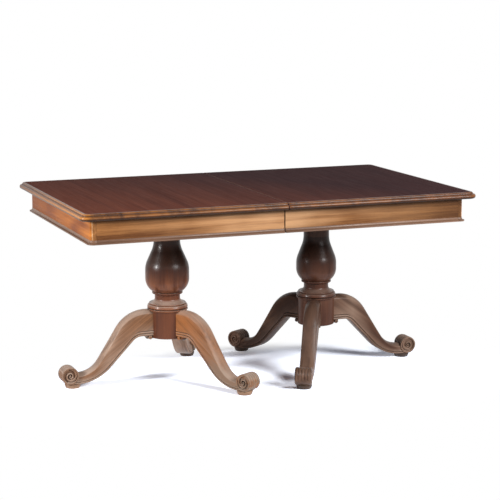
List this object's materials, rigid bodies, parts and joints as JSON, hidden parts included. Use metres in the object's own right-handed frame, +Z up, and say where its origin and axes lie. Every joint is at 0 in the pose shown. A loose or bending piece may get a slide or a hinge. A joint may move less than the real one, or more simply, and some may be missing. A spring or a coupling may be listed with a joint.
{
  "type": "extending pedestal dining table",
  "caption": "Extending dining table: a moulded top in two halves, each on a turned vase column with curved scroll-foot legs, drawing apart on wooden slides.",
  "frame": {"origin": "on the floor under the middle of the closed table", "axes": "+X along the length towards the right half, -Y towards the front, +Z up"},
  "size_m": [1.608, 0.976, 0.76],
  "materials": {
    "top_wood": "satin polish",
    "apron_wood": "satin polish",
    "moulding_wood": "satin polish",
    "left_column_wood": "satin polish",
    "right_column_wood": "satin polish",
    "left_leg_wood": "satin polish",
    "right_leg_wood": "satin polish",
    "pad_wood": "satin polish",
    "plain_wood": "unfinished",
    "iron": "black",
    "steel": "plain",
    "brass": "aged"
  },
  "bodies": {
    "left_half": {"left_top": "top_wood", "left_front_apron": "apron_wood", "left_back_apron": "apron_wood", "left_end_apron": "apron_wood", "left_front_moulding": "moulding_wood", "left_back_moulding": "moulding_wood", "left_end_moulding": "moulding_wood", "left_glue_blocks": "plain_wood", "left_battens": "plain_wood", "left_cap_block": "plain_wood", "left_top_screws": "steel", "left_cap_screws": "steel", "left_pad_screws": "steel", "left_spider_screws": "steel", "left_column": "left_column_wood", "left_outer_leg": "left_leg_wood", "left_outer_pad": "pad_wood", "left_front_leg": "left_leg_wood", "left_front_pad": "pad_wood", "left_back_leg": "left_leg_wood", "left_back_pad": "pad_wood", "left_spider": "iron", "front_left_slide": "plain_wood", "back_left_slide": "plain_wood", "left_slide_keys": "plain_wood", "alignment_pegs": "plain_wood", "hook_pivots": "brass"},
    "right_half": {"right_top": "top_wood", "right_front_apron": "apron_wood", "right_back_apron": "apron_wood", "right_end_apron": "apron_wood", "right_front_moulding": "moulding_wood", "right_back_moulding": "moulding_wood", "right_end_moulding": "moulding_wood", "right_glue_blocks": "plain_wood", "right_battens": "plain_wood", "right_cap_block": "plain_wood", "right_top_screws": "steel", "right_cap_screws": "steel", "right_pad_screws": "steel", "right_spider_screws": "steel", "right_column": "right_column_wood", "right_outer_leg": "right_leg_wood", "right_outer_pad": "pad_wood", "right_front_leg": "right_leg_wood", "right_front_pad": "pad_wood", "right_back_leg": "right_leg_wood", "right_back_pad": "pad_wood", "right_spider": "iron", "front_right_slide": "plain_wood", "back_right_slide": "plain_wood", "right_slide_keys": "plain_wood", "keeper_pins": "brass"},
    "front_middle": {"front_middle_slide": "plain_wood", "front_middle_keys": "plain_wood"},
    "back_middle": {"back_middle_slide": "plain_wood", "back_middle_keys": "plain_wood"},
    "front_hook": {"front_hook": "brass"},
    "back_hook": {"back_hook": "brass"}
  },
  "joints": [
    {"name": "extension", "type": "slide", "parent": "left_half", "child": "right_half", "axis": [1, 0, 0], "range_m": [0, 0.9]},
    {"name": "front_middle_run", "type": "slide", "parent": "left_half", "child": "front_middle", "axis": [1, 0, 0], "range_m": [0, 0.45]},
    {"name": "back_middle_run", "type": "slide", "parent": "left_half", "child": "back_middle", "axis": [1, 0, 0], "range_m": [0, 0.45]},
    {"name": "front_hook_swing", "type": "hinge", "parent": "left_half", "child": "front_hook", "pos_m": [-0.037, -0.13, 0.72938], "axis": [0, 0, 1], "range_deg": [0, 90]},
    {"name": "back_hook_swing", "type": "hinge", "parent": "left_half", "child": "back_hook", "pos_m": [-0.037, 0.13, 0.72938], "axis": [0, 0, -1], "range_deg": [0, 90]}
  ],
  "couplings": [
    {"joint": "front_middle_run", "follows": "extension", "ratio": 0.5},
    {"joint": "back_middle_run", "follows": "extension", "ratio": 0.5}
  ]
}
